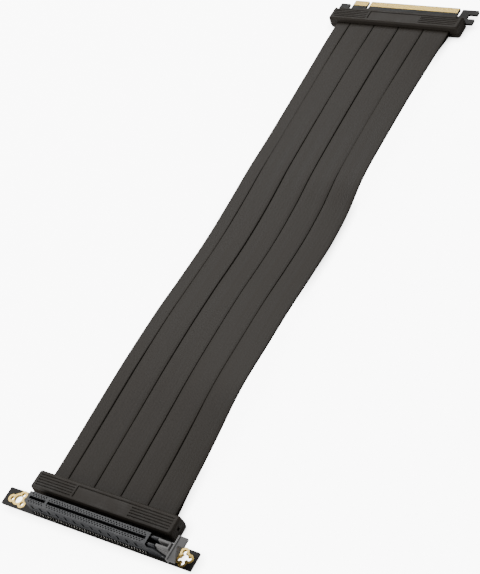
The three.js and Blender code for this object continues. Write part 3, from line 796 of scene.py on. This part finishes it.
def slot_body():
    """The slot's housing: keyed mouth, windows in staggered rows, side recesses with slits, and foot."""
    half = HOUSING_WIDTH / 2
    top = BOARD_TOP + HOUSING_HEIGHT
    low = (-HOUSING_HALF, SLOT_LINE - half, BOARD_TOP)
    piece = new_block(low, (HOUSING_HALF, SLOT_LINE + half, top))
    start_edit(piece)
    key_sides = [KEY_PLACE - KEY_RIB / 2, KEY_PLACE + KEY_RIB / 2]
    window_sides = [place + side * WINDOW_WIDTH / 2 for place in PIN_PLACES for side in (-1, 1)]
    rows = [row + side * WINDOW_LENGTH / 2 for row in (INNER_ROW, OUTER_ROW) for side in (-1, 1)]
    rows = [MOUTH_WIDTH / 2] + rows
    lines = [SLOT_LINE + side * row for row in rows for side in (-1, 1)]
    slice_faces(piece, 1, lines, is_top)
    slice_faces(piece, 0, [-MOUTH_HALF, MOUTH_HALF] + key_sides, is_top)
    slice_faces(piece, 0, window_sides, is_top)

    def is_side(centre, normal):
        return abs(normal.y) > 0.9 and abs(abs(centre.y - SLOT_LINE) - half) < NEAR

    heights = [BOARD_TOP + place for place in (FOOT_HEIGHT, RECESS_BOTTOM, RECESS_TOP)]
    slice_faces(piece, 2, heights, is_side)
    reaches = (0, SLIT_WIDTH, RECESS_WIDTH)
    recess_sides = [left + reach for left in RECESS_LEFTS for reach in reaches]
    slice_faces(piece, 0, [-FOOT_REACH, FOOT_REACH] + recess_sides, is_side)

    def in_window(centre, normal):
        if normal.z < 0.9 or abs(centre.z - top) > NEAR:
            return False
        across = abs(centre.y - SLOT_LINE)
        for pin, place in enumerate(PIN_PLACES):
            row = INNER_ROW if pin % 2 else OUTER_ROW
            if abs(centre.x - place) < WINDOW_WIDTH / 2:
                return abs(across - row) < WINDOW_LENGTH / 2
        return False

    def in_mouth(centre, normal):
        if normal.z < 0.9 or abs(centre.y - SLOT_LINE) > MOUTH_WIDTH / 2:
            return False
        is_key = key_sides[0] < centre.x < key_sides[1]
        return abs(centre.x) < MOUTH_HALF and not is_key

    push_faces(piece, in_window, (0, 0, -WINDOW_DEPTH))
    push_faces(piece, in_mouth, (0, 0, -MOUTH_DEPTH))
    for side in (-1, 1):
        def in_recess(centre, normal):
            is_level = RECESS_BOTTOM < centre.z - BOARD_TOP < RECESS_TOP
            is_here = any(0 < centre.x - left < RECESS_WIDTH for left in RECESS_LEFTS)
            return is_side(centre, normal) and normal.y * side > 0 and is_level and is_here

        def in_slit(centre, normal):
            depth = half - abs(centre.y - SLOT_LINE)
            is_back = normal.y * side > 0.9 and abs(depth - RECESS_SINK) < NEAR
            return is_back and any(0 < centre.x - left < SLIT_WIDTH for left in RECESS_LEFTS)

        def in_foot(centre, normal):
            is_low = centre.z - BOARD_TOP < FOOT_HEIGHT and abs(centre.x) < FOOT_REACH
            return is_side(centre, normal) and normal.y * side > 0 and is_low

        push_faces(piece, in_recess, (0, -side * RECESS_SINK, 0))
        push_faces(piece, in_slit, (0, -side * SLIT_SINK, 0))
        push_faces(piece, in_foot, (0, -side * FOOT_SINK, 0))
    bpy.ops.object.mode_set(mode="OBJECT")
    soften(piece, HOUSING_SOFTNESS, 1, 40)
    return finish_piece(piece, "slot_body", "cable", HOUSING_PLASTIC, ["slot_housing"])


def slot_neck():
    """The neck and the two pivot cheeks, kept from the solid and softened."""
    piece = start_copy("slot_housing")
    cut_at = HOUSING_HALF + NEAR / 2
    bpy.ops.mesh.bisect(plane_co=(cut_at, 0, 0), plane_no=(1, 0, 0), use_fill=True, clear_inner=True)
    bpy.ops.mesh.select_all(action="SELECT")
    bpy.ops.mesh.dissolve_limited(angle_limit=math.radians(0.5))
    bpy.ops.object.mode_set(mode="OBJECT")
    soften(piece, NECK_SOFTNESS, 2, 30)
    return finish_piece(piece, "slot_neck", "cable", HOUSING_PLASTIC)


def lobed_block(hole, grow, low, high):
    """An upright block with the outline of a lobed hole."""
    _, (x, y), radius, lobes = hole
    rounds = [(x, y, radius)] + [(x + right, y + back, LOBE_RADIUS) for right, back in lobes]
    whole = None
    for right, back, size in rounds:
        deselect_all()
        bpy.ops.mesh.primitive_cylinder_add(
            vertices=HOLE_SIDES, radius=size + grow, depth=high - low,
            location=(right * MM, SLOT_LINE + back * MM, (low + high) / 2),
        )
        block = settle(bpy.context.active_object)
        if whole:
            combine(whole, block, "UNION")
        else:
            whole = block
    return whole


def hole_plating(hole):
    """A gold lining in a lobed hole, with a flat rim on both faces of the board."""
    under = BOARD_TOP - BOARD_THICKNESS
    rim = HOLE_RIM + PLATING_GAP
    piece = lobed_block(hole, rim, under - PLATING_LIFT, BOARD_TOP + PLATING_LIFT)
    waist = lobed_block(hole, rim + MM, under - PLATING_GAP, BOARD_TOP + PLATING_GAP)
    core = lobed_block(hole, BORE_GAP, under - CUT_PAST, BOARD_TOP + CUT_PAST)
    combine(waist, core, "DIFFERENCE")
    combine(piece, waist, "DIFFERENCE")
    bore = lobed_block(hole, -PLATING_LINING, under - CUT_PAST, BOARD_TOP + CUT_PAST)
    combine(piece, bore, "DIFFERENCE")
    make_active(piece)
    bpy.ops.object.shade_smooth_by_angle(angle=math.radians(35))
    return finish_piece(piece, f"hole_plating_{hole[0]}", "cable", GOLD)


def window_contacts(name, side):
    """The contacts' bent tips, seen down in the windows."""
    low = BOARD_TOP + HOUSING_HEIGHT - WINDOW_DEPTH
    pieces = []
    for parity, row in ((0, OUTER_ROW), (1, INNER_ROW)):
        wall = SLOT_LINE + side * (row - WINDOW_LENGTH / 2)
        front, back = sorted((wall - side * TIP_ROOT, wall + side * TIP_REACH))
        for pin, place in enumerate(PIN_PLACES):
            if pin % 2 == parity:
                corner = (place - TIP_HALF_WIDTH, front, low + TIP_LOW)
                pieces.append(new_block(corner, (place + TIP_HALF_WIDTH, back, low + TIP_HIGH)))
    make_active(pieces[0])
    for block in pieces:
        block.select_set(True)
    bpy.ops.object.join()
    piece = bpy.context.active_object
    soften(piece, SMALL_SOFTNESS, 1, 40)
    return finish_piece(piece, name, "cable", GOLD)


def foot_teeth(name, side):
    """Plastic teeth that close the foot between the contacts' tails."""
    wall = SLOT_LINE + side * HOUSING_WIDTH / 2
    root = 0.1 * MM
    front, back = sorted((wall - side * (FOOT_SINK + root), wall - side * LIFT))
    start = -CONTACT_SPAN / 2
    low = (start - TOOTH_WIDTH / 2, front, BOARD_TOP + LIFT)
    piece = new_block(low, (start + TOOTH_WIDTH / 2, back, BOARD_TOP + FOOT_HEIGHT + root))
    repeat_along_x(piece, TAIL_PITCH, TAIL_COUNT)
    soften(piece, SMALL_SOFTNESS, 1, 40)
    return finish_piece(piece, name, "cable", HOUSING_PLASTIC)


def latch_lever():
    """The forked lever with its thumb wing, kept from the solid and softened."""
    piece = start_copy("slot_latch")
    bpy.ops.mesh.dissolve_limited(angle_limit=math.radians(0.5))
    bpy.ops.object.mode_set(mode="OBJECT")
    apply_modifier(
        piece, "BEVEL", width=LATCH_SOFTNESS, segments=2, limit_method="ANGLE",
        angle_limit=math.radians(28), use_clamp_overlap=True, miter_outer="MITER_ARC",
    )
    bpy.ops.object.shade_smooth_by_angle(angle=math.radians(40))
    return finish_piece(piece, "latch_lever", "latch", LATCH_PLASTIC, ["slot_latch"])


# Contacts outside the slot

def row_of_contacts(piece):
    """Copies a contact along X: a first group, the key's gap, and a second group."""
    make_active(piece)
    bpy.ops.object.duplicate()
    other = bpy.context.active_object
    other.location.x += (FIRST_GROUP - 1) * CONTACT_PITCH + KEY_SPAN
    settle(other)
    repeat_along_x(piece, CONTACT_PITCH, FIRST_GROUP)
    repeat_along_x(other, CONTACT_PITCH, SECOND_GROUP)
    make_active(piece)
    other.select_set(True)
    bpy.ops.object.join()


def gold_fingers(name, is_top_side):
    low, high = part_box("edge_board")
    face = high.z if is_top_side else low.z
    middle = (
        SIDEWAYS_DRIFT - CONTACT_SPAN / 2,
        high.y - FINGER_SETBACK - FINGER_LENGTH / 2,
        face,
    )
    deselect_all()
    bpy.ops.mesh.primitive_cube_add(size=1, location=middle)
    finger = bpy.context.active_object
    finger.scale = (FINGER_WIDTH, FINGER_LENGTH, FINGER_HEIGHT)
    settle(finger)
    apply_modifier(finger, "BEVEL", width=TAIL_SOFTNESS, segments=2, limit_method="ANGLE")
    row_of_contacts(finger)
    return finish_piece(finger, name, "cable", GOLD)


def contact_tails(name, side):
    """Bent tin tails that come out of the housing's foot onto the board."""
    wall = SLOT_LINE + side * HOUSING_WIDTH / 2
    front, back = sorted((wall, wall + side * TAIL_THICKNESS))
    start = -CONTACT_SPAN / 2
    low = (start - TAIL_WIDTH / 2, front, BOARD_TOP + LIFT)
    tail = new_block(low, (start + TAIL_WIDTH / 2, back, BOARD_TOP + TAIL_RISE))
    bend = BOARD_TOP + TAIL_THICKNESS
    start_edit(tail)
    slice_faces(tail, 2, [bend], lambda centre, normal: abs(normal.y) > 0.9)
    push_faces(
        tail, lambda centre, normal: normal.y * side > 0.9 and centre.z < bend,
        (0, side * TAIL_REACH, 0),
    )
    bpy.ops.object.mode_set(mode="OBJECT")
    repeat_along_x(tail, TAIL_PITCH, TAIL_COUNT)
    soften(tail, TAIL_SOFTNESS, 1, 40)
    return finish_piece(tail, name, "cable", TIN)


def dress_nodes():
    """The two boards keep their solids and get the dark mask."""
    for node in ("slot_board", "edge_board"):
        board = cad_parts[node]
        board.data.materials.clear()
        board.data.materials.append(SOLDER_MASK)


make_camera()
for layer in ("upper", "lower"):
    for index in range(STRIP_COUNT):
        ribbon_strip(index, layer)
make_stage()
add_softbox("key_softbox", (-0.8, 1.05, 1.1), (0, 0.2, 0), (1.1, 0.9), 11)
add_softbox("left_softbox", (-1.08, 0.42, 1.16), (0, 0, 0), (0.9, 0.9), 5.2)
add_softbox("fill_softbox", (-0.45, -0.85, 0.4), (0, 0, 0), (0.8, 0.5), 4.5)
cover_shell("slot_shell_top", "slot_cover_top", 0, 0, SLOT_COVER_RISE, TOP_SEAM, True, False)
cover_shell("slot_shell_bottom", "slot_cover_bottom", 0, 0, COVER_UNDER, BOTTOM_SEAM, False, False)
cover_shell(
    "edge_shell_top", "edge_cover_top", SIDEWAYS_DRIFT, EDGE_COVER_PLACE,
    EDGE_COVER_RISE, TOP_SEAM, True, True,
)
cover_shell(
    "edge_shell_bottom", "edge_cover_bottom", SIDEWAYS_DRIFT, EDGE_COVER_PLACE,
    COVER_UNDER, BOTTOM_SEAM, False, True,
)
slot_body()
slot_neck()
for hole in HOLES:
    hole_plating(hole)
window_contacts("window_contacts_front", -1)
window_contacts("window_contacts_back", 1)
foot_teeth("foot_teeth_front", -1)
foot_teeth("foot_teeth_back", 1)
latch_lever()
dress_nodes()
gold_fingers("gold_fingers_top", True)
gold_fingers("gold_fingers_under", False)
contact_tails("tails_front", -1)
contact_tails("tails_back", 1)
